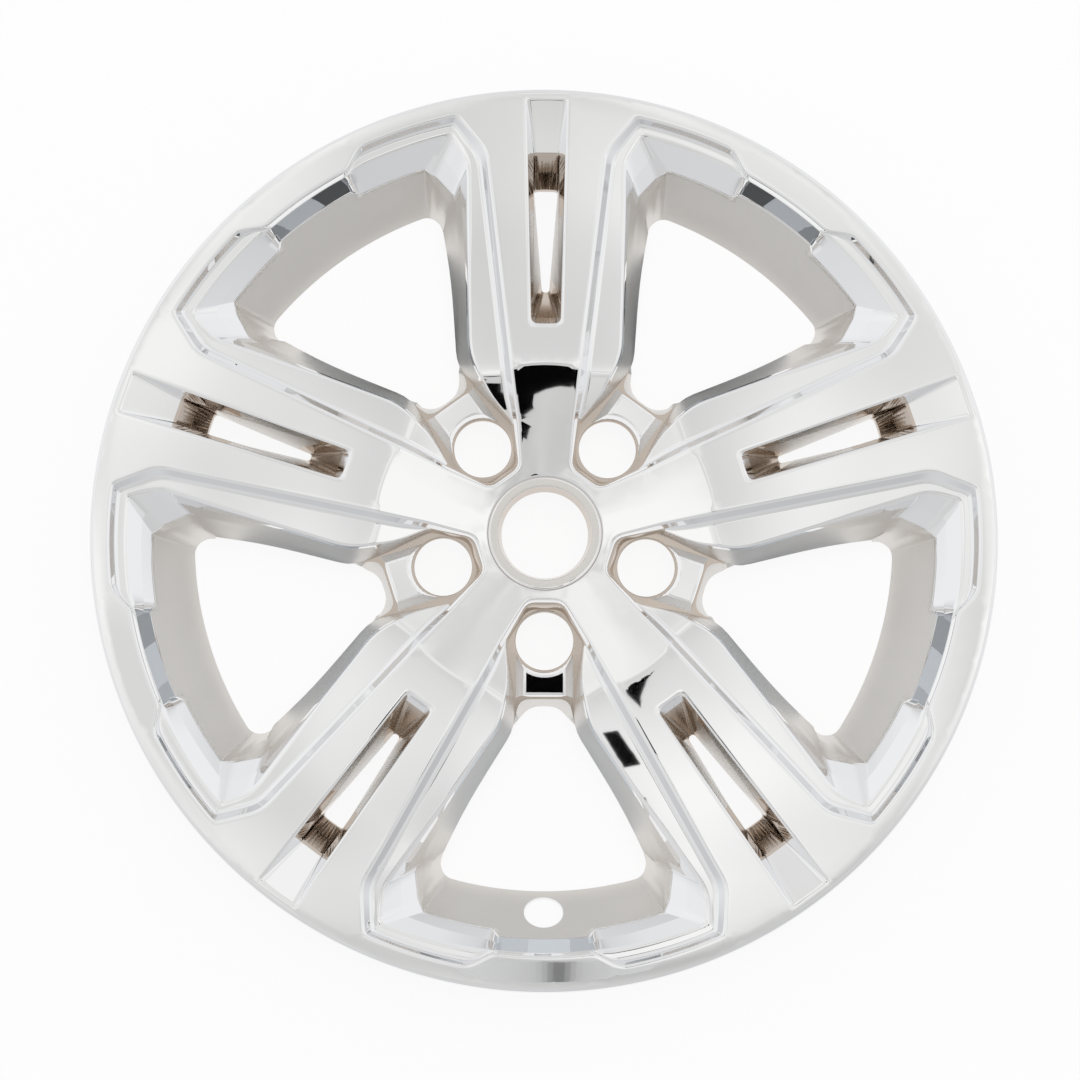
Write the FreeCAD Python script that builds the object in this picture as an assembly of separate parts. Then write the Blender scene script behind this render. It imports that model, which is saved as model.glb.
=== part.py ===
import FreeCAD, Part
import math
import os

# wheel cover, one chrome-plated moulding, millimetres
# frame: origin on the axis in the rear plane, z out of the face, y along the top spoke

count = 5                  # spokes, windows, slots and lug holes
wall = 2.5                 # moulded wall
rim_r = 238.0              # outer radius
lip_r = 3.0                # rounded lip of the rim
depth = 42.0               # rim plane above the rear plane
lip_drop = 9.0             # outer skirt of the rim
crease_r = 89.5            # radius of the crease on the spokes
crease_drop = 6.0          # crease below the rim plane
hub_r = 31.0               # ring step at the hub
hub_drop = 17.0            # hub face below the rim plane
ring_step = 1.6            # height of the ring step
bore_r = 23.3              # centre bore
tube_length = 11.0         # tube round the bore, from the ring step down

step_drop = 4.5            # ledge below the face
step_lean = 2.6            # run of the step from top to bottom
step_tip = (18.0, 58.0)    # step line on the spoke, hub end
step_spoke = (35.0, 202.0)
step_bend = (50.0, 220.0)
step_arc_r = 226.0
step_arc_end = 9.5         # degrees from the window axis
notch_r = 218.5            # face edge of the notch
notch_half = 6.5           # degrees from the window axis

panel_top_r = 220.0        # sloping panels beside the notch
panel_low_r = 208.6
notch_low_r = 217.3        # foot of the upright wall in the notch
arc_r = 189.8              # rear edge of the window, rim side
well_top = 4.5             # levels of the window wall below the rim plane
well_notch = 12.0
well_panel = 16.0
well_foot = 21.6
well_side = 27.0           # ends of the walls behind the spokes
hub_end = 82.6             # window wall on the hub side at the top level
hub_lean = 0.24            # its lean towards the rim, per millimetre of depth

slot_in = 110.0            # spoke slot at the face, hub end
slot_out = 209.5           # funnel wall carried up to the rim plane
slot_half_in = 7.9
slot_half_out = 10.3
hole_in = 132.5            # through hole of the slot
hole_out = 189.3
hole_half_in = 1.9
hole_half_out = 6.4
ramp_in = 204.0            # shallow ramp at the rim end
ramp_out = 232.0
ramp_drop_in = 10.0
ramp_drop_out = 1.0
ramp_half_in = 6.2
ramp_top_half = 11.2

lug_circle = 114.3         # pitch circle of the lug holes
lug_r = 15.4
pocket_end = 36.5          # lug pocket wall nearest the hub
pocket_half = 9.4
pocket_drop = 26.0         # pocket floor below the rim plane
bar_half = 12.5            # bridge bar between lug hole and window
bar_drop = 22.0
bar_gap = 2.4              # floor left between lug hole and bar
valve_r = 10.4             # valve hole, square to a tilted axis
valve_circle = 200.2
valve_drop = 31.0
valve_tilt = 33.0

spoke_step = 360.0 / count
axis_deg = 90.0 - spoke_step / 2.0   # window axis beside the top spoke
up = FreeCAD.Vector(0, 0, 1)


def vec(x, y, z=0.0):
    return FreeCAD.Vector(x, y, z)


def polar(radius, from_axis):
    # point at a radius, degrees from the window axis towards the spoke
    turn = math.radians(axis_deg + from_axis)
    return (radius * math.cos(turn), radius * math.sin(turn))


def mirrored(point):
    turn = math.radians(2.0 * axis_deg)
    x, y = point
    return (x * math.cos(turn) + y * math.sin(turn), x * math.sin(turn) - y * math.cos(turn))


def at_axial(x, axial):
    # point with the given x whose distance along the window axis is axial
    turn = math.radians(axis_deg)
    return (x, (axial - x * math.cos(turn)) / math.sin(turn))


def grown(points, by):
    # outline moved outwards by a mitred offset; the outline runs counter-clockwise
    if by == 0.0:
        return list(points)
    moved = []
    total = len(points)
    for i in range(total):
        ax, ay = points[i - 1]
        bx, by_ = points[i]
        cx, cy = points[(i + 1) % total]
        d1 = math.hypot(bx - ax, by_ - ay)
        d2 = math.hypot(cx - bx, cy - by_)
        n1 = ((by_ - ay) / d1, (ax - bx) / d1)
        n2 = ((cy - by_) / d2, (bx - cx) / d2)
        bend = 1.0 + n1[0] * n2[0] + n1[1] * n2[1]
        moved.append((bx + by * (n1[0] + n2[0]) / bend, by_ + by * (n1[1] + n2[1]) / bend))
    return moved


def loop(points, z, arcs=()):
    # closed wire at a height; sides named in arcs are circles about the axis
    edges = []
    total = len(points)
    for i in range(total):
        a = points[i]
        b = points[(i + 1) % total]
        if i in arcs:
            radius = (math.hypot(*a) + math.hypot(*b)) / 2.0
            mx = a[0] + b[0]
            my = a[1] + b[1]
            size = math.hypot(mx, my)
            mid = vec(radius * mx / size, radius * my / size, z)
            edges.append(Part.Arc(vec(a[0], a[1], z), mid, vec(b[0], b[1], z)).toShape())
        else:
            edges.append(Part.makeLine(vec(a[0], a[1], z), vec(b[0], b[1], z)))
    return Part.Wire(edges)


def prism(points, low, high, arcs=()):
    face = Part.Face(loop(points, low, arcs))
    return face.extrude(vec(0, 0, high - low))


def closed_half(half):
    # full outline from its half on the spoke side, listed from the hub to the rim
    return [mirrored(p) for p in half] + list(reversed(half))


def around(shape, turns=count):
    copies = []
    for k in range(turns):
        copy = shape.copy()
        copy.rotate(vec(0, 0, 0), up, k * spoke_step)
        copies.append(copy)
    return copies


def face_z(radius):
    # height of the front face at a radius
    if radius >= crease_r:
        share = (rim_r - lip_r - radius) / (rim_r - lip_r - crease_r)
        return depth - crease_drop * share
    share = (crease_r - radius) / (crease_r - hub_r)
    return depth - crease_drop - (hub_drop - crease_drop) * share


def front_body(off):
    # solid of revolution under the face, moved in by off
    out = rim_r - off
    low = -1.0 if off else 0.0
    foot = depth - lip_drop
    corner = math.sqrt(0.5) * lip_r
    top = vec(rim_r - lip_r, 0, depth - off)
    mid = vec(rim_r - lip_r + (lip_r - off) * math.sqrt(0.5), 0, depth - lip_r + (lip_r - off) * math.sqrt(0.5))
    side = vec(out, 0, depth - lip_r)
    points = [
        vec(out, 0, low),
        vec(0, 0, low),
        vec(0, 0, face_z(hub_r) - ring_step - off),
        vec(hub_r - ring_step, 0, face_z(hub_r) - ring_step - off),
        vec(hub_r, 0, face_z(hub_r) - off),
        vec(crease_r, 0, face_z(crease_r) - off),
        top,
    ]
    edges = [Part.makeLine(side, points[0])]
    for a, b in zip(points[:-1], points[1:]):
        edges.append(Part.makeLine(a, b))
    edges.append(Part.Arc(top, mid, side).toShape())
    return Part.Face(Part.Wire(edges)).revolve(vec(0, 0, 0), up, 360)


def above_ledge(off):
    # everything higher than the ledge, which runs parallel to the face
    drop = step_drop + off
    points = [
        vec(20.0, 0, face_z(hub_r) - drop),
        vec(crease_r, 0, face_z(crease_r) - drop),
        vec(rim_r, 0, depth - drop),
        vec(rim_r, 0, depth + 5.0),
        vec(20.0, 0, depth + 5.0),
    ]
    return Part.Face(Part.makePolygon(points + points[:1])).revolve(vec(0, 0, 0), up, 360)


def tray_cut(off):
    # step line and ledge round the window
    half = [
        step_tip,
        step_spoke,
        step_bend,
        polar(step_arc_r, step_arc_end),
        polar(notch_r - step_lean, notch_half),
    ]
    low = grown(closed_half(half), off)
    high = grown(low, step_lean)
    arcs = (2, 4, 6)
    bottom = face_z(crease_r) - step_drop - off
    spread = [
        loop(low, bottom - 12.0, arcs),
        loop(low, bottom, arcs),
        loop(high, depth + 2.0, arcs),
    ]
    solid = Part.makeLoft(spread, True, True)
    return solid.common(above_ledge(off))


def wall_r(level):
    # radius of the deep cone of the window on the rim side
    share = (level - well_notch) / (depth - well_notch)
    return notch_low_r + (arc_r - notch_low_r) * share


def side_x(level, share):
    # half width of the spoke wall at a level; share 0 at the hub end and 1 at the rim end
    ease = min(1.0, (level - well_top) / (well_side - well_top))
    top = 39.0 + 2.2 * share
    low = 47.4 + 7.0 * share
    return top + (low - top) * ease


def well_level(level, corner, block_r, block_deg, notch, notch_deg):
    # half outline of the window wall at one level, hub end first
    hub = at_axial(side_x(level, 0.0), hub_end + hub_lean * (level - well_top))
    half = [hub, (side_x(level, 0.4), 130.0), (side_x(level, 0.8), 154.0)]
    half += corner
    half += [polar(block_r, block_deg), polar(notch, notch_deg)]
    return half


def well_cut(off):
    # deep wall of the window, level by level
    levels = [
        (well_top, [(42.0, 199.5), (51.0, 213.5)], panel_top_r, 8.4, notch_r - 0.5, notch_half),
        (well_notch, [(46.9, 187.4), (56.8, 199.0)], 212.2, 7.8, notch_low_r, 6.4),
        (well_panel, [(49.5, 181.5), (59.5, 192.5)], panel_low_r, 7.5, wall_r(well_panel), 6.3),
        (well_foot, [(52.6, 178.2), (61.2, 190.0)], wall_r(well_foot) - 0.6, 7.3, wall_r(well_foot), 6.2),
        (well_side, [(54.8, 176.0), (63.0, 186.4)], wall_r(well_side) - 0.2, 7.2, wall_r(well_side), 6.2),
        (depth, [(57.7, 174.0), (66.0, 177.8)], arc_r, 7.2, arc_r, 6.2),
    ]
    arcs = (4, 6, 8)
    first = well_level(*levels[0])
    wires = [loop(grown(closed_half(first), off), depth + 4.0, arcs)]
    for row in levels:
        height = depth - row[0] - off
        if row[0] == depth:
            height = -2.0
        wires.append(loop(grown(closed_half(well_level(*row)), off), height, arcs))
    return Part.makeLoft(wires, True, True)


def slot_cut(off):
    # tapered slot in the top spoke, through to the rear
    def outline(y_in, half_in, y_out, half_out):
        return grown([(-half_in, y_in), (half_in, y_in), (half_out, y_out), (-half_out, y_out)], off)

    top = outline(slot_in, slot_half_in, slot_out, slot_half_out)
    low = outline(hole_in, hole_half_in, hole_out, hole_half_out)
    wires = [
        loop(top, depth + 3.0),
        loop(top, depth - crease_drop - off),
        loop(low, depth - well_side - off),
        loop(low, -2.0),
    ]
    slot = Part.makeLoft(wires, True, True)

    def section(y, top_half, low_half, drop):
        lean = (top_half - low_half) / drop
        high_half = top_half + 3.0 * lean
        corners = [(-high_half - off, depth + 3.0), (-low_half - off, depth - drop - off),
                   (low_half + off, depth - drop - off), (high_half + off, depth + 3.0)]
        points = [vec(x, y, z) for x, z in corners]
        return Part.makePolygon(points + points[:1])

    ramp = Part.makeLoft([
        section(ramp_in, slot_half_out, ramp_half_in, ramp_drop_in),
        section(ramp_out + off, ramp_top_half, ramp_top_half - 0.6, ramp_drop_out),
    ], True, True)
    return slot.fuse(ramp)


def pocket_cut(off):
    # lug pocket between the spokes, with the bridge bar left standing
    floor = depth - pocket_drop - off
    half = [at_axial_pair(pocket_end, pocket_half), at_axial_pair(59.0, 21.0),
            at_axial_pair(73.0, 18.5), at_axial_pair(92.0, 20.2)]
    pocket = prism(grown(closed_half(half), off), floor, depth)
    bar_in = lug_circle / 2.0
    bar_out = hub_end + hub_lean * (bar_drop - well_top) + 3.0
    side = bar_half - off
    bar_half_out = [at_axial_pair(bar_in, side), at_axial_pair(bar_out, side)]
    bar = prism(closed_half(bar_half_out), floor - 1.0, depth - bar_drop - off)
    lug = at_axial_pair(lug_circle / 2.0, 0.0)
    ring = Part.makeCylinder(lug_r + bar_gap + off, depth, vec(lug[0], lug[1], floor - 2.0))
    return pocket.cut(bar.cut(ring))


def at_axial_pair(axial, across):
    # point by its distance along the window axis and across it towards the spoke
    turn = math.radians(axis_deg)
    return (axial * math.cos(turn) - across * math.sin(turn), axial * math.sin(turn) + across * math.cos(turn))


def body(off):
    solid = front_body(off)
    cutters = []
    for make in (tray_cut, well_cut, slot_cut, pocket_cut):
        cutters += around(make(off))
    return solid.cut(cutters)


def rim_relief():
    # the outer skirt of the rim is short, only the window skirts reach the rear plane
    wide = Part.makeCylinder(rim_r + 5.0, depth - lip_drop + 1.0, vec(0, 0, -1.0))
    return wide.cut(Part.makeCylinder(rim_r - 2.0 * wall, depth, vec(0, 0, -1.0)))


def spoke_relief():
    # open rear behind each spoke, down to the ends of its side walls
    half = [(12.0, 66.0), (42.0, 72.0), (52.5, 84.0), (55.5, 130.0), (58.5, 160.0), (59.5, 171.0),
            (40.0, 186.0), (16.0, 236.0)]
    outline = [(x, y) for x, y in half] + [(-x, y) for x, y in reversed(half)]
    return prism(outline, -1.0, depth - well_side - wall)


def valve_hole():
    tilt = math.radians(valve_tilt)
    lean = vec(0, math.sin(tilt), math.cos(tilt))
    middle = vec(0, -valve_circle, depth - valve_drop)
    return Part.makeCylinder(valve_r, 24.0, middle - lean * 10.0, lean)


def bore_tube():
    # short tube behind the ring step
    top = face_z(hub_r) - ring_step
    return Part.makeCylinder(bore_r + wall, tube_length - wall / 2.0, vec(0, 0, top - tube_length))


def cover():
    shell = body(0.0).cut(body(wall)).fuse(bore_tube())
    lug = at_axial_pair(lug_circle / 2.0, 0.0)
    through = [Part.makeCylinder(bore_r, depth, vec(0, 0, 0)), rim_relief(), valve_hole()]
    through += around(Part.makeCylinder(lug_r, depth, vec(lug[0], lug[1], 0)))
    through += around(spoke_relief())
    return shell.cut(through)


os.makedirs("parts", exist_ok=True)
shape = cover()
shape.exportStep("parts/wheel_cover.step")
print(len(shape.Solids), "solid,", round(shape.Volume / 1000.0), "cubic centimetres")
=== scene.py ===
import math

import bmesh
import bpy
from mathutils import Matrix, Vector
from mathutils.geometry import delaunay_2d_cdt
from mathutils.kdtree import KDTree


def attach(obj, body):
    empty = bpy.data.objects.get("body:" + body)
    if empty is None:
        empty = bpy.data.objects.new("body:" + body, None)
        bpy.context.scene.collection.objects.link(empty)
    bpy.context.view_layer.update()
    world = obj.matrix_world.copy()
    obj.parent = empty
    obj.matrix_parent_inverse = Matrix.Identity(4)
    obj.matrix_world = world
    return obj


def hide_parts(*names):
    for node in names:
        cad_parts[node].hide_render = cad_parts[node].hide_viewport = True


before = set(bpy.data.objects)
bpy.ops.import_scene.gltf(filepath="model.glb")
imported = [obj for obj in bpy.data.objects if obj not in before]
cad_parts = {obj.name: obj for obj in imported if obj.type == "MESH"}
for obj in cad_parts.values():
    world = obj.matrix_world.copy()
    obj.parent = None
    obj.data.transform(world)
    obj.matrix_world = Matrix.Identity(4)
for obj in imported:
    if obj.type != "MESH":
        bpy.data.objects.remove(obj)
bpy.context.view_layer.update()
print("frame loaded")

mm = 0.001  # sizes below are millimetres from the rim plane, z downwards negative

face = {
    "count": 5,
    "axisDeg": 54.0,          # window axis to the right of the top spoke
    "rimRadius": 238.0,
    "lipStart": 235.3,        # where the face turns over into the lip
    "lipDrop": 9.0,
    "creaseRadius": 89.5,
    "creaseDrop": 6.0,
    "creaseSoft": 0.12,       # rounding of the crease, height
    "hubRadius": 31.0,
    "hubDrop": 17.0,
    "ringStep": 1.6,
    "boreRadius": 23.3,
    "tubeLength": 11.0,       # hub tube below the ring
    "tubeTaper": 1.6,
    "wall": 2.5,
    "depth": 42.0,            # rim plane above the rear plane
    "slopeStart": 235.0,      # outside this the face is level
    "lipBack": 0.4,           # how far the back of the lip steps in, per millimetre of wall
    "hubMargin": 1.2,         # the face ends this far outside the ring step
    "rimSteps": 300,
    "hubSteps": 80,
    "gridStep": 6.5,          # inner points of the face mesh, and their distance from its edges
    "gridClear": 3.2,
    "gridEnds": (5.0, 2.0),   # first and last row, from the hub and from the lip
    "creaseRows": 1.2,        # rows beside the crease, their points and distance from edges
    "creaseStep": 2.5,
    "creaseClear": 1.4,
    "creaseFree": 4.0,        # no other row this near the crease
}
cornerShare = 0.42            # most of a side that one rounded corner takes
cornerSteps = 4
bright, brown, shadedSatin = 0, 1, 2  # places in the list of materials; the second and third are darker colours that paint shade in the recesses


def faceZ(radius):
    start, crease = face["slopeStart"], face["creaseRadius"]
    outer = -face["creaseDrop"] * (start - radius) / (start - crease)
    slope = (face["hubDrop"] - face["creaseDrop"]) / (crease - face["hubRadius"])
    inner = -face["creaseDrop"] - slope * (crease - radius)
    soft = face["creaseSoft"]
    gap = math.sqrt((outer - inner) ** 2 + soft ** 2)
    return min(0.0, (outer + inner - gap) / 2.0 + soft / 2.0)


def lipEdge(off):  # where the face meets the lip, in front or behind
    return face["lipStart"] - off * face["lipBack"]


def hubEdge():
    return face["hubRadius"] + face["hubMargin"]


def fiveTurns():
    return [Matrix.Rotation(math.tau * k / face["count"], 3, "Z") for k in range(face["count"])]


def polar(radius, deg):
    turn = math.radians(deg)
    return (radius * math.cos(turn), radius * math.sin(turn))


def fromAxis(radius, deg):
    return polar(radius, face["axisDeg"] + deg)


def along(axial, across):  # by distance along the window axis and across it
    c = math.cos(math.radians(face["axisDeg"]))
    s = math.sin(math.radians(face["axisDeg"]))
    return (axial * c - across * s, axial * s + across * c)


def atAxial(x, axial):
    turn = math.radians(face["axisDeg"])
    return (x, (axial - x * math.cos(turn)) / math.sin(turn))


def mirrored(point):
    turn = math.radians(2.0 * face["axisDeg"])
    x, y = point
    return (x * math.cos(turn) + y * math.sin(turn), x * math.sin(turn) - y * math.cos(turn))


def mixed(a, b, share):
    return tuple(p + (q - p) * share for p, q in zip(a, b))


def grown(points, by):  # mitred offset, outwards for a counter-clockwise outline
    if by == 0.0:
        return list(points)
    moved = []
    for i in range(len(points)):
        a, b, c = Vector(points[i - 1]), Vector(points[i]), Vector(points[(i + 1) % len(points)])
        d1, d2 = (b - a).normalized(), (c - b).normalized()
        n1, n2 = Vector((d1.y, -d1.x)), Vector((d2.y, -d2.x))
        push = (n1 + n2) / max(0.25, 1.0 + n1.dot(n2))
        moved.append(tuple(b + push * by))
    return moved


def sidePoint(a, b, share, isArc):
    if not isArc:
        return mixed(a, b, share)
    turnA, turnB = math.atan2(a[1], a[0]), math.atan2(b[1], b[0])
    radius = math.hypot(*a) * (1.0 - share) + math.hypot(*b) * share
    turn = turnA + (turnB - turnA) * share
    return (radius * math.cos(turn), radius * math.sin(turn))


def roundedLoop(points, radii, counts, arcs):
    # rounded outline; every loop with the same counts has the same stations
    total = len(points)
    spans = [math.dist(points[i], points[(i + 1) % total]) for i in range(total)]
    cuts = []
    for i in range(total):
        cuts.append((min(radii[i] / spans[i - 1], cornerShare), min(radii[i] / spans[i], cornerShare)))
    places, marks, starts = [], [], []
    for i in range(total):
        starts.append(len(places))
        before, after = cuts[i]
        arcBefore = i - 1 in arcs or i - 1 + total in arcs
        first = sidePoint(points[i - 1], points[i], 1.0 - before, arcBefore)
        last = sidePoint(points[i], points[(i + 1) % total], after, i in arcs)
        for k in range(cornerSteps + 1):
            t = k / cornerSteps
            places.append(mixed(mixed(first, points[i], t), mixed(points[i], last, t), t))
            marks.append(i - before * (1.0 - t * 2.0) if t < 0.5 else i + after * (t * 2.0 - 1.0))
        stop = 1.0 - cuts[(i + 1) % total][0]
        for k in range(counts[i]):
            share = after + (stop - after) * (k + 1) / (counts[i] + 1)
            places.append(sidePoint(points[i], points[(i + 1) % total], share, i in arcs))
            marks.append(i + share)
    return places, marks, starts


def heightAt(mark, heights):
    i = math.floor(mark)
    share = mark - i
    return heights[i % len(heights)] * (1.0 - share) + heights[(i + 1) % len(heights)] * share


def roundedSection(keys, radii, steps=3):
    # cross-section through the key points with rounded corners
    line = [keys[0]]
    for i in range(1, len(keys) - 1):
        a, b, c = keys[i - 1], keys[i], keys[i + 1]
        cut = min(radii[i], 0.45 * (a - b).length, 0.45 * (c - b).length)
        first = b + (a - b).normalized() * cut if cut > 1e-6 else b.copy()
        last = b + (c - b).normalized() * cut if cut > 1e-6 else b.copy()
        for k in range(steps + 1):
            t = k / steps
            line.append(first.lerp(b, t).lerp(b.lerp(last, t), t))
    line.append(keys[-1])
    return line


class Sheet:
    # collects faces in millimetres, then becomes one mesh
    def __init__(self):
        self.points, self.faces, self.tints = [], [], []

    def add(self, outline, tint=bright):
        start = len(self.points)
        self.points += outline
        self.faces.append(tuple(range(start, len(self.points))))
        self.tints.append(tint)

    def bands(self, lines, tint=bright):
        # quads between neighbouring lines, each line a list of points
        for i in range(len(lines)):
            one, two = lines[i], lines[(i + 1) % len(lines)]
            for k in range(len(one) - 1):
                paint = tint[i][k] if isinstance(tint, list) else tint
                self.add([one[k], one[k + 1], two[k + 1], two[k]], paint)


window = {
    "stepDrop": 4.5,
    "faceEdge": [along(35.6, 9.6), (15.0, 60.0), None, None, None, (32.0, 203.8),
                 (47.6, 222.4), (51.0, 221.8), fromAxis(227.8, 9.9), fromAxis(219.3, 6.9)],
    "stepFoot": [along(37.4, 9.4), (17.2, 59.3), (21.3, 75.0), None, None, (36.2, 201.4),
                 (50.0, 219.0), (52.5, 218.8), fromAxis(225.2, 9.2), fromAxis(218.2, 6.4)],
    "ledge": [along(38.2, 9.3), (17.5, 59.4), (31.0, 75.0), (40.4, 95.0), (41.6, 140.0), (42.2, 199.5),
              (50.4, 213.4), (53.6, 213.2), fromAxis(219.6, 8.4), fromAxis(218.0, 6.35)],
    "side": [along(40.3, 9.0), (17.8, 59.5), (32.8, 73.7), (47.6, 91.0), (50.9, 140.0), (54.6, 176.2),
             (61.2, 186.4), (66.0, 192.4), fromAxis(203.4, 7.2), fromAxis(203.4, 6.2)],
    "rear": [along(40.3, 9.0), (17.8, 59.5), (32.8, 73.7), (47.9, 91.4), (51.4, 140.0), (57.2, 172.8),
             (61.6, 176.8), (66.2, 177.9), fromAxis(189.8, 7.2), fromAxis(189.8, 6.2)],
    "levels": {                # depth, share of the way down the spoke wall, rim end of the outline
        "notch": (-11.0, 0.15, [(46.4, 190.0), (55.8, 202.4), (60.6, 203.8), fromAxis(213.7, 7.9),
                                fromAxis(215.1, 6.3)]),
        "panel": (-16.0, 0.38, [(49.5, 182.8), (60.0, 194.2), (66.0, 197.2), fromAxis(208.6, 7.5),
                                fromAxis(212.6, 6.3)]),
        "foot": (-20.6, 0.62, [(51.4, 179.6), (60.6, 190.6), (66.1, 197.5), fromAxis(208.4, 7.4),
                               fromAxis(208.6, 6.2)]),
    },
    "floor": -26.5,            # pocket floor and ends of the spoke walls
    "reliefEnd": -29.5,
    "hubWallX": 41.0,          # corner of the wall beside the bar, then at the rear plane
    "hubWallRearX": 47.6,
    "hubWall": 87.9,           # along the window axis at the floor, then at the rear plane
    "hubWallRear": 91.5,
    "planRound": [4.5, 2.0, 8.0, 9.0, 20.0, 6.0, 4.0, 1.2, 4.5, 2.5],
    "planRoundDeep": [4.5, 2.0, 8.0, 9.0, 20.0, 3.0, 2.0, 0.4, 1.5, 0.8],
    "planRoundRear": [4.5, 2.0, 8.0, 9.0, 20.0, 6.0, 4.0, 3.0, 1.5, 0.8],
    "hubWallRound": 6.0,
    "stepLineY": {2: 75.0, 3: 95.0, 4: 140.0},  # points of the straight step line
    "sideCounts": [4, 4, 3, 6, 8, 4, 2, 10, 2],
    "endCounts": (10, 4),      # stations across the notch and across the pocket
    "sectionRound": [0.0, 2.6, 1.7, 2.0, 0.3, 0.9, 0.6, 0.0],
    "sectionSteps": (5, 2),    # in front, behind
    "faceMargin": 2.4,
    "brownBelow": 3.2,         # drops from the face, then from the panel, where the painted shade colours begin
    "shadedSatinBelow": 7.0,
    "shadedSatinBelowPanel": 0.5,
    "reliefMarks": (0.1, 0.14),  # ahead of two corners, between which the rear edge is lifted
}
corners = {"tip": 1, "pocketEnd": 3, "spokeEnd": 5, "count": 10}


def onLine(a, b, y):
    return (a[0] + (b[0] - a[0]) * (y - a[1]) / (b[1] - a[1]), y)


def fullLoop(half):
    return [mirrored(p) for p in half] + list(reversed(half))


def windowOutlines():
    w = window
    for name, start in (("faceEdge", 1), ("stepFoot", 2)):
        for i, y in w["stepLineY"].items():
            w[name][i] = w[name][i] or onLine(w[name][start], w[name][corners["spokeEnd"]], y)
    outlines = {"faceEdge": w["faceEdge"], "stepFoot": w["stepFoot"], "ledge": w["ledge"]}
    for name, level in w["levels"].items():
        share, rimEnd = level[1:]
        spokeSide = range(corners["spokeEnd"])
        outlines[name] = [mixed(w["ledge"][i], w["side"][i], share) for i in spokeSide] + rimEnd
    outlines["side"] = w["side"]
    outlines["rear"] = w["rear"]
    return outlines


def windowHeights(name):
    w = window
    drops = {"faceEdge": 0.0, "stepFoot": w["stepDrop"], "ledge": w["stepDrop"]}
    if name in drops:
        return None, drops[name]
    if name in ("side", "rear"):
        return [w["floor"]] * corners["count"], 0.0
    height, share = w["levels"][name][:2]
    heights = []
    for i in range(corners["count"]):
        top = faceZ(math.hypot(*w["ledge"][i])) - w["stepDrop"]
        heights.append(top + (w["floor"] - top) * share if i < corners["spokeEnd"] else height)
    return heights, 0.0


def windowRings(off):
    # rings of stations round one window and its lug pocket, from the face down
    w = window
    atNotch, atPocket = w["endCounts"]
    counts = w["sideCounts"] + [atNotch] + w["sideCounts"][::-1] + [atPocket]
    last = corners["count"] - 1
    arcs = (last - 2, last, last + 2)
    rings = []
    for name, half in windowOutlines().items():
        radii = w["planRoundDeep"] if name in ("notch", "panel", "foot", "side") else w["planRound"]
        if name == "rear":
            radii = w["planRoundRear"]
        loop = grown(fullLoop(half), off)
        heights, drop = windowHeights(name)
        if name == "faceEdge":
            wide = grown(loop, w["faceMargin"])
            places = roundedLoop(wide, radii + radii[::-1], counts, arcs)[0]
            rings.append([Vector((x, y, faceZ(math.hypot(x, y)) - off)) for x, y in places])
        places, marks, starts = roundedLoop(loop, radii + radii[::-1], counts, arcs)
        ring = []
        for (x, y), mark in zip(places, marks):
            if heights is None:
                z = faceZ(math.hypot(x, y)) - drop - off
            else:
                z = heightAt(mark, heights + heights[::-1]) - off
            ring.append(Vector((x, y, z)))
        rings.append(ring)
    rear = rings.pop()
    first = corners["pocketEnd"] - w["reliefMarks"][0]
    end = corners["spokeEnd"] - w["reliefMarks"][1]
    across = 2 * corners["count"] - 1
    for i, mark in enumerate(marks):
        behindSpoke = first < mark < end or across - end < mark < across - first
        rear[i].z = w["reliefEnd"] if behindSpoke else -face["depth"]
    return rings, rear, starts


def hubWallLine(one, two, x, axial, radius, height, relief):
    # the window's wall on the hub side, from the right spoke to the left one
    corner = atAxial(x, axial)
    points = [tuple(one.xy), corner, mirrored(corner), tuple(two.xy)]
    ends, middle, bend = 3, 6, 5  # stations on the end sides, between the corners and round each
    line = []
    for i in (1, 2):
        a, b, c = points[i - 1], points[i], points[i + 1]
        first = mixed(b, a, min(cornerShare, radius / math.dist(a, b)))
        last = mixed(b, c, min(cornerShare, radius / math.dist(b, c)))
        start = a if i == 1 else line[-1]
        lead = ends if i == 1 else middle
        for k in range(lead):
            line.append(mixed(start, first, (k + 1) / (lead + 1)))
        for k in range(bend + 1):
            t = k / bend
            line.append(mixed(mixed(first, b, t), mixed(b, last, t), t))
    start = line[-1]
    for k in range(ends):
        line.append(mixed(start, points[3], (k + 1) / (ends + 1)))
    made = []
    for i, (px, py) in enumerate(line):
        atEnd = i < 2 or i >= len(line) - 2
        made.append(Vector((px, py, relief if atEnd else height)))
    return made


lug = {
    "circleRadius": 57.15,
    "radius": 15.4,
    "collar": 1.0,             # rounded mouth of the hole
    "barHalf": 15.2,           # bridge bar at its foot
    "barLean": 3.4,            # run of its sloping sides
    "barHeight": 4.5,          # above the pocket floor
    "barOuter": 87.2,
    "barGap": 1.2,
    "barRound": 1.6,
    "barFall": 0.02,           # slope of its top
    "barLength": 14.0,
    "points": 56,
    "collarSteps": 4,
    "barArc": 12,              # steps of the bar's edge round the hole
}


def fillFlat(sheet, outer, holes, height, tint, turn):
    # flat floor between an outline and its holes
    places, edges = [], []
    for loop in [outer] + holes:
        start = len(places)
        places += [Vector(p[:2]) for p in loop]
        edges += [(start + i, start + (i + 1) % len(loop)) for i in range(len(loop))]
    made = delaunay_2d_cdt(places, edges, [], 0, 1e-5)
    for tri in made[2]:
        mid = sum((made[0][i] for i in tri), Vector((0, 0))) / 3.0
        if not inside(mid, outer) or any(inside(mid, hole) for hole in holes):
            continue
        sheet.add([turn @ Vector((*made[0][i], height(made[0][i]))) for i in tri], tint)


def inside(point, loop):
    hit = False
    x, y = point[0], point[1]
    for i in range(len(loop)):
        ax, ay = loop[i - 1][0], loop[i - 1][1]
        bx, by = loop[i][0], loop[i][1]
        if (ay > y) != (by > y) and x < ax + (bx - ax) * (y - ay) / (by - ay):
            hit = not hit
    return hit


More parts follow.
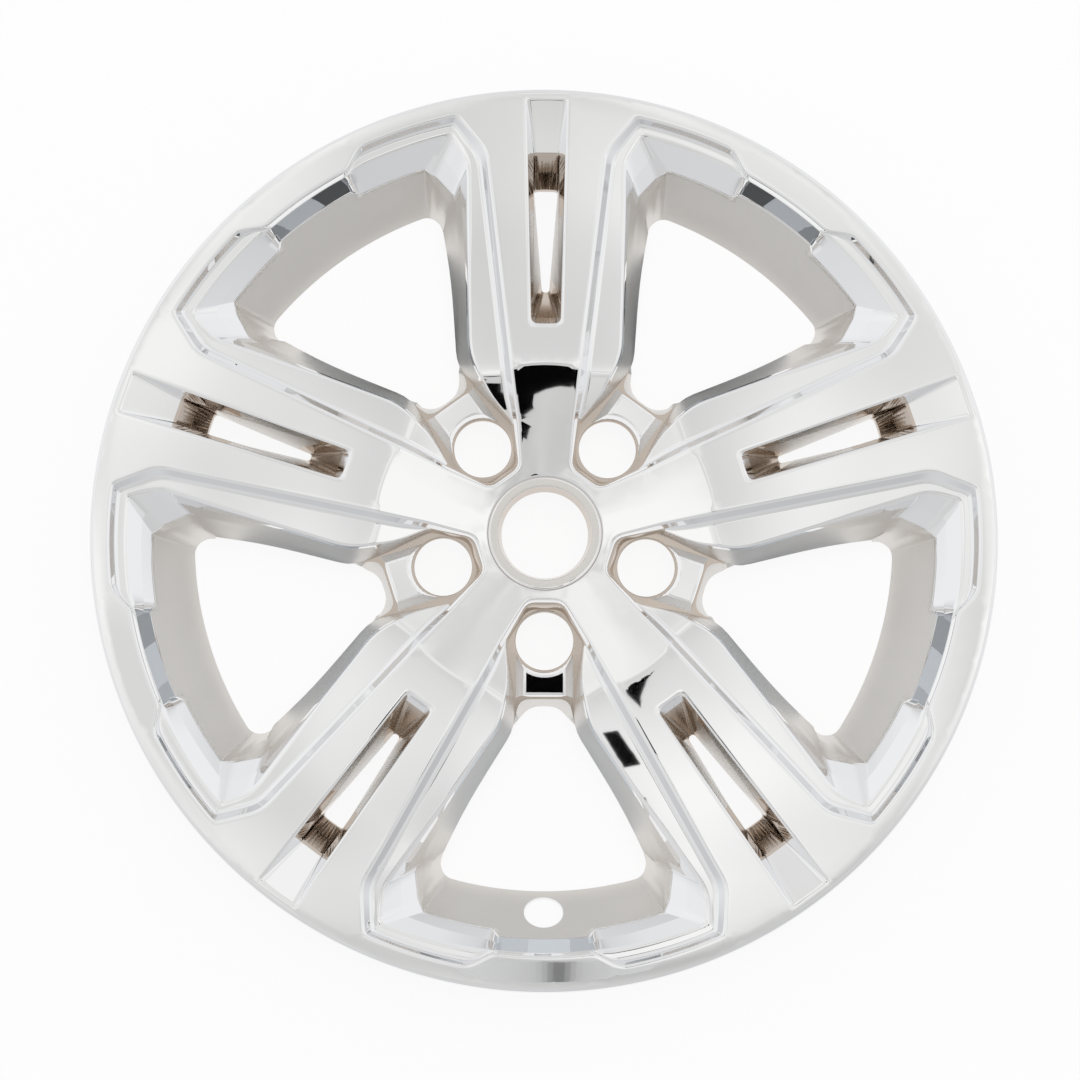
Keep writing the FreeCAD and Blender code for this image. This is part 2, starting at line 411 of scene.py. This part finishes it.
def lugPocket(sheet, pocketEdge, hubLine, off, turn):
    # pocket floor with its lug hole and the raised bridge bar
    floor = window["floor"] - off
    centre = Vector(along(lug["circleRadius"], 0.0))
    mouth, rim = [], []
    for k in range(lug["points"]):
        angle = math.tau * k / lug["points"]
        way = Vector((math.cos(angle), math.sin(angle)))
        mouth.append(centre + way * (lug["radius"] + lug["collar"]))
        rim.append([])
        for step in range(lug["collarSteps"] + 1):
            share = step / lug["collarSteps"]
            a = math.radians(90.0 * share)
            out = lug["radius"] + lug["collar"] * (1.0 - (share if off else math.sin(a)))
            drop = 0.0 if off else lug["collar"] * (1.0 - math.cos(a))
            spot = centre + way * out
            rim[-1].append(turn @ Vector((spot.x, spot.y, floor - drop)))
        if not off:
            spot = centre + way * lug["radius"]
            rim[-1].append(turn @ Vector((spot.x, spot.y, floor - face["wall"])))
    sheet.bands(rim, tint=brown)

    def barTop(p):  # the bar falls away a little towards the rim
        axial = Vector(p[:2]).dot(Vector(along(1.0, 0.0)))
        return lug["barHeight"] - lug["barFall"] * (axial - lug["barOuter"] + lug["barLength"])

    def barOutline(half, outer, gap):
        reach = lug["radius"] + gap
        outline = [(outer, -half), (outer, half)]
        for k in range(lug["barArc"] + 1):
            across = half * (1.0 - 2.0 * k / lug["barArc"])
            outline.append((lug["circleRadius"] + math.sqrt(reach ** 2 - across ** 2), across))
        return [along(*p) for p in outline]

    half, outer, gap = lug["barHalf"] - off, lug["barOuter"] - off, lug["barGap"] + off
    lean, soft = lug["barLean"], lug["barRound"]
    steps = [(half, outer, gap, None),  # half width, rim end, gap to the hole, drop from the top
             (half - lean, outer - 1.0, gap + 1.2, soft * 0.7),
             (half - lean - soft * 0.4, outer - 1.4, gap + 1.6, soft * 0.2),
             (half - lean - soft, outer - 2.2, gap + 2.4, 0.0),
             (half - lean - soft - 0.5, outer - 2.7, gap + 2.9, 0.0)]
    rings = []
    for a, b, c, down in steps:
        rings.append([Vector((*p, floor if down is None else floor + barTop(p) - down))
                      for p in barOutline(a, b, c)])
    sheet.bands([[turn @ ring[i] for ring in rings] for i in range(len(rings[0]))])
    fillFlat(sheet, [p.xy for p in rings[-1]], [], lambda p: floor + barTop(p), bright, turn)
    holes = [mouth, [p.xy for p in rings[0]]]
    fillFlat(sheet, [p.xy for p in pocketEdge + hubLine], holes, lambda p: floor, brown, turn)


slot = {
    "faceEdge": [(7.9, 110.0), (10.3, 204.0), (11.2, 232.0)],
    "ramp": [(6.5, 115.2), (6.8, 203.0), (6.1, 204.4)],
    "hole": [(1.9, 132.5), (6.4, 187.2), (5.8, 189.3)],
    "rampDrop": -10.0,
    "holeDrop": -26.5,
    "rear": -29.5,
    "rounds": {"faceEdge": [3.6, 0.5, 2.4], "ramp": [1.6, 0.3, 0.5], "funnel": [1.8, 0.4, 1.6],
               "hole": [1.8, 0.5, 3.0], "rear": [1.8, 0.5, 3.0]},
    "counts": [14, 6, 8, 6, 14, 6],
    "sectionRound": [0.0, 2.2, 1.0, 0.3, 0.6, 0.0],
    "faceMargin": 2.0,
    "brown": (139.0, 176.0),   # painted shade, darker and brown, beyond these two distances
    "flute": 0.6,              # ribs of the funnel at the rim end, and how far in they reach
    "fluteReach": 10.0,
    "rampMargin": 2.0,         # beyond the funnel, where a section lies on the ramp
    "rampShadeStart": 0.4,        # the painted shade begins this far above the ramp's end
    "shadeBelowFace": 3.0,       # and this far below the face elsewhere
}


def slotRings(off):
    def full(half):
        return half + [(-x, y) for x, y in reversed(half)]

    rings = []
    slot["funnel"] = [mixed(a, b, 0.5) for a, b in zip(slot["ramp"], slot["hole"])]
    for name in ("faceEdge", "ramp", "funnel", "hole", "rear"):
        loop = grown(full(slot["hole" if name == "rear" else name]), off)
        radii = slot["rounds"][name]
        height = {"faceEdge": None, "ramp": slot["rampDrop"] - off, "hole": slot["holeDrop"] - off,
                  "funnel": (slot["rampDrop"] + slot["holeDrop"]) / 2.0 - off, "rear": slot["rear"]}[name]
        if name == "faceEdge":
            wide = grown(loop, slot["faceMargin"])
            places = roundedLoop(wide, radii + radii[::-1], slot["counts"], ())[0]
            rings.append([Vector((x, y, faceZ(math.hypot(x, y)) - off)) for x, y in places])
        places = roundedLoop(loop, radii + radii[::-1], slot["counts"], ())[0]
        ring = []
        for x, y in places:
            ring.append(Vector((x, y, faceZ(math.hypot(x, y)) - off if height is None else height)))
        if name == "funnel" and not off:
            for k, p in enumerate(ring):
                if p.y > slot["ramp"][1][1] - slot["fluteReach"]:
                    p.y += slot["flute"] * (1 if k % 2 else -1)
        rings.append(ring)
    return rings


def facePatch(sheet, windowLoop, slotLoop, off):
    # the turned face between rim, hub, windows and slots
    turns = fiveTurns()
    outer, inner = lipEdge(off), hubEdge()
    loops = [[(turn @ p).xy for p in loop] for turn in turns for loop in (windowLoop, slotLoop)]
    for radius, number in ((outer, face["rimSteps"]), (inner, face["hubSteps"])):
        loops.append([Vector(polar(radius, 360.0 * k / number)) for k in range(number)])
    places, edges = [], []
    for loop in loops:
        start = len(places)
        places += loop
        edges += [(start + i, start + (i + 1) % len(loop)) for i in range(len(loop))]
    near = KDTree(len(places))
    for i, p in enumerate(places):
        near.insert((p.x, p.y, 0.0), i)
    near.balance()
    crease = face["creaseRadius"]
    rows = []
    for beside in (-face["creaseRows"], 0.0, face["creaseRows"]):
        rows.append((crease + beside, face["creaseStep"], face["creaseClear"]))
    radius = face["hubRadius"] + face["gridEnds"][0]
    while radius < face["lipStart"] - face["gridEnds"][1]:
        if abs(radius - crease) > face["creaseFree"]:
            rows.append((radius, face["gridStep"], face["gridClear"]))
        radius += face["gridStep"]
    for radius, step, clear in rows:
        number = face["count"] * round(math.tau * radius / step / face["count"])
        for k in range(number):
            spot = Vector(polar(radius, 360.0 * (k + 0.5) / number))
            if near.find((spot.x, spot.y, 0.0))[2] >= clear:
                places.append(spot)
    made = delaunay_2d_cdt(places, edges, [], 0, 1e-5)
    for tri in made[2]:
        mid = sum((made[0][i] for i in tri), Vector((0, 0))) / 3.0
        if mid.length > outer * 0.99995 or mid.length < inner:  # slivers along the lip
            continue
        opening = False
        for turn in turns:
            spot = turn @ Vector((mid.x, mid.y, 0.0))
            if 0.0 <= math.atan2(spot.y, spot.x) < math.radians(130.0):  # near the first window
                opening = opening or inside(spot, windowLoop) or inside(spot, slotLoop)
        if not opening:
            sheet.add([Vector((*made[0][i], faceZ(made[0][i].length) - off)) for i in tri])


def lathe(sheet, profile, number, tint=bright):
    lines = []
    for k in range(number):
        c, s = polar(1.0, 360.0 * k / number)
        lines.append([Vector((r * c, r * s, z)) for r, z in profile])
    sheet.bands(lines, tint=tint)


hubRing = {                    # section of the ring step: radius and drop from the face, then from the ring
    "fromFace": [(31.2, 0.15), (30.5, 0.75)],
    "fromRing": [(29.7, 0.05), (29.0, 0.0)],
    "mouth": [(1.2, 0.0), (0.5, 0.15), (0.12, 0.5), (0.0, 1.1)],  # outside the bore, drop from the ring
    "backRadius": 29.6,
}


def rimAndHub(sheet):
    wall, rim = face["wall"], face["rimRadius"]
    lip = face["rimRadius"] - face["lipStart"]
    profile = [(face["lipStart"], faceZ(face["lipStart"]))]
    for k in range(1, 7):
        a = math.radians(15.0 * k)
        profile.append((rim - lip + lip * math.sin(a), lip * math.cos(a) - lip))
    low = -face["lipDrop"]
    profile += [(rim, low + 0.5), (rim - 0.5, low), (rim - wall + 0.4, low), (rim - wall, low + 0.4)]
    back = lipEdge(wall)
    profile += [(rim - wall, -wall - 1.2), (rim - wall - 0.4, -wall - 0.3), (back, faceZ(back) - wall)]
    lathe(sheet, profile, face["rimSteps"])
    start = hubEdge()
    top = faceZ(start)
    ring = faceZ(face["hubRadius"]) - face["ringStep"]
    bore = face["boreRadius"]
    tube = ring - face["tubeLength"]
    mouthR = bore + face["tubeTaper"]
    step = [(start, top)] + [(r, top - drop) for r, drop in hubRing["fromFace"]]
    step += [(r, ring - drop) for r, drop in hubRing["fromRing"]]
    hub = [step[-1]] + [(mouthR + out, ring - drop) for out, drop in hubRing["mouth"]]
    behind = [(bore, tube), (bore + wall, tube), (mouthR + wall, ring - wall),
              (hubRing["backRadius"], ring - wall), (start, top - wall)]
    lathe(sheet, step, face["hubSteps"])
    # the mouth and the bore take the darker colours, as painted shade
    lathe(sheet, hub, face["hubSteps"], tint=shadedSatin)
    lathe(sheet, [hub[-1], (bore, tube)], face["hubSteps"], tint=brown)
    lathe(sheet, behind, face["hubSteps"])


def buildShell():
    sheet = Sheet()
    turns = fiveTurns()
    rearLoops, slotEnds = [], []
    for off in (0.0, face["wall"]):
        rings, rear, starts = windowRings(off)
        total = len(rear)
        across = 2 * corners["count"] - 1
        left = starts[corners["pocketEnd"]] + cornerSteps // 2  # where the spoke wall meets the pocket
        right = starts[across - corners["pocketEnd"]] + cornerSteps // 2
        fine = window["sectionSteps"][1 if off else 0]
        sections, tints = [], []
        for i in range(total):
            line = roundedSection([ring[i] for ring in rings], window["sectionRound"], fine)
            sections.append(line)
            nearHub = i <= starts[corners["tip"]] or i >= starts[across - corners["tip"]]
            atRim = starts[corners["spokeEnd"]] <= i <= starts[across - corners["spokeEnd"]] + cornerSteps
            wallTop = faceZ(line[0].xy.length) - off - window["shadedSatinBelow"]
            if atRim:
                wallTop = window["levels"]["panel"][0] - off - window["shadedSatinBelowPanel"]
            # walls below these depths take the darker colours, as painted shade in the recesses
            paint = []
            for p in line[:-1]:
                if nearHub:
                    paint.append(brown if p.z < faceZ(p.xy.length) - off - window["brownBelow"] else bright)
                else:
                    paint.append(shadedSatin if p.z < wallTop else bright)
            tints.append(paint)
        pocketEdge = [rings[-1][i % total] for i in range(right, total + left + 1)]
        floor, bend = window["floor"] - off, window["hubWallRound"]
        hubTop = hubWallLine(rings[-1][right], rings[-1][left], window["hubWallX"] - off,
                             window["hubWall"] - off, bend, floor, floor)
        hubLow = hubWallLine(rear[right], rear[left], window["hubWallRearX"] - off,
                             window["hubWallRear"] - off, bend, -face["depth"], window["reliefEnd"])
        topLoop = [rings[-1][i] for i in range(left, right + 1)] + hubTop
        lowLoop = [rear[i] for i in range(left, right + 1)] + hubLow
        rearLoops.append(lowLoop)
        slots = slotRings(off)
        slotEnds.append(slots[-1])
        slotLines, slotTints = [], []
        for i in range(len(slots[0])):
            line = roundedSection([ring[i] for ring in slots], slot["sectionRound"])
            atEnd = line[-1].y > slot["brown"][1] or line[-1].y < slot["brown"][0]
            wallTop = faceZ(line[0].xy.length) - off - slot["shadeBelowFace"]
            if line[0].y > slot["ramp"][1][1] + slot["rampMargin"]:
                wallTop = slot["rampDrop"] + slot["rampShadeStart"]
            # painted shade on the slot walls below wallTop, brown at the ends
            deep = brown if atEnd else shadedSatin
            slotLines.append(line)
            slotTints.append([deep if p.z < wallTop else bright for p in line[:-1]])
        for turn in turns:
            sheet.bands([[turn @ p for p in line] for line in sections], tint=tints)
            sheet.bands([[turn @ a, turn @ b] for a, b in zip(topLoop, lowLoop)], tint=shadedSatin)
            sheet.bands([[turn @ p for p in line] for line in slotLines], tint=slotTints)
            lugPocket(sheet, pocketEdge, hubTop[::-1], off, turn)
        facePatch(sheet, rings[0], slots[0], off)
        print("surface at", off, "mm:", len(sheet.faces), "faces")
    for turn in turns:
        for pair in (rearLoops, slotEnds):
            sheet.bands([[turn @ a, turn @ b] for a, b in zip(*pair)])
    rimAndHub(sheet)
    return sheet


joining = {"merge": 0.02, "sliver": 0.01, "sharpDeg": 26.0}


def makePiece(name, sheet, materials):
    mesh = bpy.data.meshes.new(name)
    lift = Vector((0.0, 0.0, face["depth"]))
    mesh.from_pydata([(p + lift) * mm for p in sheet.points], [], sheet.faces)
    mesh.polygons.foreach_set("material_index", sheet.tints)
    for material in materials:
        mesh.materials.append(material)
    bm = bmesh.new()
    bm.from_mesh(mesh)
    bmesh.ops.remove_doubles(bm, verts=bm.verts, dist=joining["merge"] * mm)
    bmesh.ops.dissolve_degenerate(bm, dist=joining["sliver"] * mm, edges=bm.edges)
    bmesh.ops.recalc_face_normals(bm, faces=bm.faces)
    loose = sum(1 for e in bm.edges if len(e.link_faces) != 2)
    print(name, len(bm.faces), "faces,", loose, "open edges")
    bm.to_mesh(mesh)
    bm.free()
    mesh.polygons.foreach_set("use_smooth", [True] * len(mesh.polygons))
    mesh.set_sharp_from_angle(angle=math.radians(joining["sharpDeg"]))
    piece = bpy.data.objects.new(name, mesh)
    bpy.context.scene.collection.objects.link(piece)
    return piece


chrome = {"colour": (0.90, 0.90, 0.905, 1.0), "roughness": 0.02}
# brown, darker metal colour: painted shade in the lug pockets, the bore and the slot ends
recessShade = {"colour": (0.60, 0.525, 0.46, 1.0), "roughness": 0.11}
shadedSatinWall = {"colour": (0.79, 0.765, 0.735, 1.0), "roughness": 0.40}  # rougher finish, and its darker warm colour is painted shade on the deep walls


def makeMetal(name, look):
    material = bpy.data.materials.new(name)
    material.use_nodes = True
    shader = material.node_tree.nodes["Principled BSDF"]
    shader.inputs["Base Color"].default_value = look["colour"]
    shader.inputs["Metallic"].default_value = 1.0
    shader.inputs["Roughness"].default_value = look["roughness"]
    return material


materials = [makeMetal("brightChrome", chrome), makeMetal("recessShade", recessShade),
             makeMetal("shadedSatinWall", shadedSatinWall)]
shell = makePiece("coverShell", buildShell(), materials)

valve = {"radius": 10.4, "circle": 200.2, "drop": -31.0, "tilt": 33.0, "cutLength": 26.0, "points": 48}


def cutValveHole(piece):
    cutterMesh = bpy.data.meshes.new("valveCutter")
    bm = bmesh.new()
    bmesh.ops.create_cone(bm, cap_ends=True, segments=valve["points"], radius1=valve["radius"] * mm,
                          radius2=valve["radius"] * mm, depth=valve["cutLength"] * mm)
    place = Matrix.Translation(Vector((0, -valve["circle"], valve["drop"] + face["depth"])) * mm)
    bm.transform(place @ Matrix.Rotation(-math.radians(valve["tilt"]), 4, "X"))
    bm.to_mesh(cutterMesh)
    bm.free()
    cutter = bpy.data.objects.new("valveCutter", cutterMesh)
    bpy.context.scene.collection.objects.link(cutter)
    hole = piece.modifiers.new("valveHole", "BOOLEAN")
    hole.operation = "DIFFERENCE"
    hole.solver = "EXACT"
    hole.object = cutter
    bpy.context.view_layer.update()
    cutPiece = piece.evaluated_get(bpy.context.evaluated_depsgraph_get())
    cutMesh = bpy.data.meshes.new_from_object(cutPiece)
    piece.modifiers.clear()
    piece.data = cutMesh
    bpy.data.objects.remove(cutter)


cutValveHole(shell)
weigh = shell.modifiers.new("faceNormals", "WEIGHTED_NORMAL")
weigh.keep_sharp = True
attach(shell, "root")
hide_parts("wheel_cover")
print("cover made")

studio = {
    "cameraDistance": 1000.0,   # from the rim-plane centre
    "tilt": 6.26,               # off the axis
    "heading": -97.3,           # direction the camera leans towards
    "focal": 1913.5,            # pixels across a 1080 pixel frame
    "centre": (545.5, 529.2),   # where the axis meets the rim plane in the frame
    "frame": 1080.0,
    "turn": -0.174,             # how far the cover is turned in the picture, degrees
    "sensor": 36.0,
    "clip": (0.01, 50.0),
}


def placeCamera():
    s = studio
    data = bpy.data.cameras.new("photoCamera")
    data.sensor_width = s["sensor"]
    data.lens = s["sensor"] * s["focal"] / s["frame"]
    data.shift_x = (s["frame"] / 2.0 - s["centre"][0]) / s["frame"]
    data.shift_y = (s["centre"][1] - s["frame"] / 2.0) / s["frame"]
    data.clip_start, data.clip_end = s["clip"]
    tilt, heading = math.radians(s["tilt"]), math.radians(s["heading"] - s["turn"])
    flat = math.sin(tilt)
    way = Vector((math.cos(heading) * flat, math.sin(heading) * flat, math.cos(tilt)))
    target = Vector((0.0, 0.0, face["depth"])) * mm
    camera = bpy.data.objects.new("photoCamera", data)
    bpy.context.scene.collection.objects.link(camera)
    up = Vector((math.sin(math.radians(s["turn"])), math.cos(math.radians(s["turn"])), 0.0))
    right = up.cross(way).normalized()
    trueUp = way.cross(right)
    place = Matrix((right, trueUp, way)).transposed().to_4x4()
    place.translation = target + way * s["cameraDistance"] * mm
    camera.matrix_world = place
    bpy.context.scene.camera = camera


placeCamera()

ground = {"size": 6.0, "colour": (0.9, 0.9, 0.9, 1.0), "roughness": 0.9, "specular": 0.1, "white": 0.88}


def makeFloor():
    half = ground["size"] / 2.0
    mesh = bpy.data.meshes.new("floor")
    outline = [(-half, -half, 0), (half, -half, 0), (half, half, 0), (-half, half, 0)]
    mesh.from_pydata(outline, [], [(0, 1, 2, 3)])
    floor = bpy.data.objects.new("floor", mesh)
    bpy.context.scene.collection.objects.link(floor)
    material = bpy.data.materials.new("paleFloor")
    material.use_nodes = True
    nodes, links = material.node_tree.nodes, material.node_tree.links
    shader = nodes["Principled BSDF"]
    shader.inputs["Base Color"].default_value = ground["colour"]
    shader.inputs["Roughness"].default_value = ground["roughness"]
    shader.inputs["Specular IOR Level"].default_value = ground["specular"]
    glow = nodes.new("ShaderNodeEmission")
    glow.inputs["Color"].default_value = (1.0, 1.0, 1.0, 1.0)
    path = nodes.new("ShaderNodeLightPath")
    part = nodes.new("ShaderNodeMath")
    part.operation = "MULTIPLY"
    part.inputs[1].default_value = ground["white"]  # the rest keeps the shadow
    seen = path.outputs["Is Camera Ray"]
    for other in ("Is Glossy Ray", "Is Transmission Ray"):
        either = nodes.new("ShaderNodeMath")
        either.operation = "MAXIMUM"
        links.new(seen, either.inputs[0])
        links.new(path.outputs[other], either.inputs[1])
        seen = either.outputs[0]
    links.new(seen, part.inputs[0])
    blend = nodes.new("ShaderNodeMixShader")
    links.new(part.outputs[0], blend.inputs["Fac"])
    links.new(shader.outputs[0], blend.inputs[1])
    links.new(glow.outputs[0], blend.inputs[2])
    links.new(blend.outputs[0], nodes["Material Output"].inputs["Surface"])
    floor.data.materials.append(material)


makeFloor()

room = {                       # a pale room: tone by height, then by compass from west round by south
    "height": [(0.0, (0.64, 0.64, 0.65)), (0.08, (0.80, 0.805, 0.815)), (0.22, (0.975, 0.985, 1.0)),
               (0.6, (0.98, 0.985, 0.995)), (0.93, (1.0, 1.0, 0.985)), (1.0, (0.99, 0.99, 0.98))],
    "compass": [0.94, 0.76, 0.70, 0.66, 0.94, 0.95, 0.82, 0.96, 0.94],
    "mottleScale": 9.0,
    "mottleDetail": 1.0,
    "mottleFrom": (0.3, 0.7),
    "mottleTo": (0.80, 1.10),
    "overhead": (0.6, 0.9),    # heights between which the mottle comes in
}


def addRamp(tree, source, stops):
    ramp = tree.nodes.new("ShaderNodeValToRGB")
    marks = ramp.color_ramp.elements
    for k, (spot, colour) in enumerate(stops):
        mark = marks[k] if k < 2 else marks.new(spot)
        mark.position = spot
        mark.color = (*colour, 1.0)
    tree.links.new(source, ramp.inputs["Fac"])
    return ramp.outputs["Color"]


def addRange(tree, source, span, result):
    node = tree.nodes.new("ShaderNodeMapRange")
    node.inputs["From Min"].default_value, node.inputs["From Max"].default_value = span
    node.inputs["To Min"].default_value, node.inputs["To Max"].default_value = result
    tree.links.new(source, node.inputs["Value"])
    return node.outputs[0]


def makeWorld():
    world = bpy.data.worlds.new("studioWorld")
    bpy.context.scene.world = world
    world.use_nodes = True
    tree = world.node_tree
    nodes, links = tree.nodes, tree.links
    place = nodes.new("ShaderNodeTexCoord").outputs["Generated"]
    apart = nodes.new("ShaderNodeSeparateXYZ")
    links.new(place, apart.inputs[0])
    turn = nodes.new("ShaderNodeTexGradient")
    turn.gradient_type = "RADIAL"
    links.new(place, turn.inputs["Vector"])
    mottle = nodes.new("ShaderNodeTexNoise")
    mottle.inputs["Scale"].default_value = room["mottleScale"]
    mottle.inputs["Detail"].default_value = room["mottleDetail"]
    links.new(place, mottle.inputs["Vector"])
    amount = nodes.new("ShaderNodeMix")
    amount.inputs[2].default_value = 1.0
    links.new(addRange(tree, apart.outputs["Z"], room["overhead"], (0.0, 1.0)), amount.inputs["Factor"])
    links.new(addRange(tree, mottle.outputs[0], room["mottleFrom"], room["mottleTo"]), amount.inputs[3])
    total = nodes.new("ShaderNodeMath")
    total.operation = "MULTIPLY"
    links.new(amount.outputs[0], total.inputs[0])
    compass = [(k / 8.0, (grey, grey, grey)) for k, grey in enumerate(room["compass"])]
    links.new(addRamp(tree, turn.outputs["Fac"], compass), total.inputs[1])
    back = nodes["Background"]
    links.new(addRamp(tree, apart.outputs["Z"], room["height"]), back.inputs["Color"])
    links.new(total.outputs[0], back.inputs["Strength"])


makeWorld()


def softLamp(name, place, size, power):
    data = bpy.data.lights.new(name, "AREA")
    data.shape = "RECTANGLE"
    data.size, data.size_y = size
    data.energy = power
    lamp = bpy.data.objects.new(name, data)
    lamp.location = place
    lamp.rotation_euler = (-Vector(place)).to_track_quat("-Z", "Y").to_euler()
    lamp.visible_glossy = False
    bpy.context.scene.collection.objects.link(lamp)


softLamp("overheadSoft", (0.3, 0.9, 2.2), (1.6, 1.6), 12.0)

black = (0.002, 0.002, 0.002)
cardHeight = 1092.0
cards = {                      # dark things that only reflections show: height, then colours and outlines
    "cameraBody": (cardHeight, [(black, [(-27, -75), (61, -75), (61, -98), (80, -98), (80, -172), (58, -178),
                                         (50, -165), (44, -150), (36, -132), (15, -128), (-20, -117),
                                         (-27, -112)])]),
    "cameraArm": (cardHeight, [(black, [(48, 34), (72, 40), (75, 0)]),
                               (black, [(43, -24), (58, -22), (78, -60), (61, -64)])]),
    "cameraStand": (cardHeight, []),
}
stand = {
    "middle": 27.0,
    "near": -255.0,
    "far": -312.0,
    "strip": 5.0,
    "first": -63.0,
    "count": 36,
    "pale": 0.86,
    "halo": (0.16, 45.0),      # depth of tone and width
    "core": (0.42, 12.0),
}
shadePatches = {                       # painted shade of the floor under the cover, striped, seen only in reflections: middle in degrees, way round, paleness
    "rightShade": (54.0, 1.0, 0.0),
    "leftShade": (126.0, -1.0, 0.0),
    "lowRightShade": (-18.0, 1.0, 0.34),
    "lowLeftShade": (198.0, -1.0, 0.34),
    "bottomShade": (270.0, 1.0, 0.6),
}
shadeHeight = 1.0
shadeReach = (108, 172)
shadeTone = (0.9, 0.95, 1.0)
shadeEdges = [17, 9, 4, -2, -6, -8, -14, -20]  # degrees from the middle
shadeLevels = [0.34, 0.10, 0.50, 0.28, 0.04, 0.40, 0.22]


def standStrips():
    for k in range(stand["count"]):
        left = stand["first"] + k * stand["strip"]
        right = left + stand["strip"]
        off = left + stand["strip"] / 2.0 - stand["middle"]
        level = stand["pale"]
        for depth, width in (stand["halo"], stand["core"]):
            level -= depth * math.exp(-(off / width) ** 2)
        near, far = stand["near"], stand["far"]
        outline = [(left, near), (right, near), (right, far), (left, far)]
        cards["cameraStand"][1].append(((level, level, level), outline))


# dark striped sheets on the floor under the windows: the cover's painted shade, for reflections only
def shadeStripes():
    inner, outer = shadeReach
    for name, (middle, way, pale) in shadePatches.items():
        cards[name] = (shadeHeight, [])
        for start, end, dark in zip(shadeEdges, shadeEdges[1:], shadeLevels):
            a, b = middle + way * start, middle + way * end
            level = pale + (1.0 - pale) * dark
            outline = [polar(inner, a), polar(outer, a), polar(outer, b), polar(inner, b)]
            cards[name][1].append((tuple(level * tone for tone in shadeTone), outline))


standStrips()
shadeStripes()


def darkCard(name):
    high, pieces = cards[name]
    mesh = bpy.data.meshes.new(name)
    points, polygons = [], []
    for colour, outline in pieces:
        polygons.append(tuple(range(len(points), len(points) + len(outline))))
        points += [(x * mm, y * mm, high * mm) for x, y in outline]
    mesh.from_pydata(points, [], polygons)
    for k, (colour, outline) in enumerate(pieces):
        material = bpy.data.materials.new(name)
        material.use_nodes = True
        shader = material.node_tree.nodes["Principled BSDF"]
        shader.inputs["Base Color"].default_value = (*colour, 1.0)
        shader.inputs["Roughness"].default_value = 1.0
        shader.inputs["Specular IOR Level"].default_value = 0.0
        mesh.materials.append(material)
        mesh.polygons[k].material_index = k
    card = bpy.data.objects.new(name, mesh)
    bpy.context.scene.collection.objects.link(card)
    card.visible_camera = False
    card.visible_diffuse = False
    card.visible_shadow = False


for name in cards:
    darkCard(name)

bpy.context.scene.view_settings.view_transform = "Standard"
print("studio made")
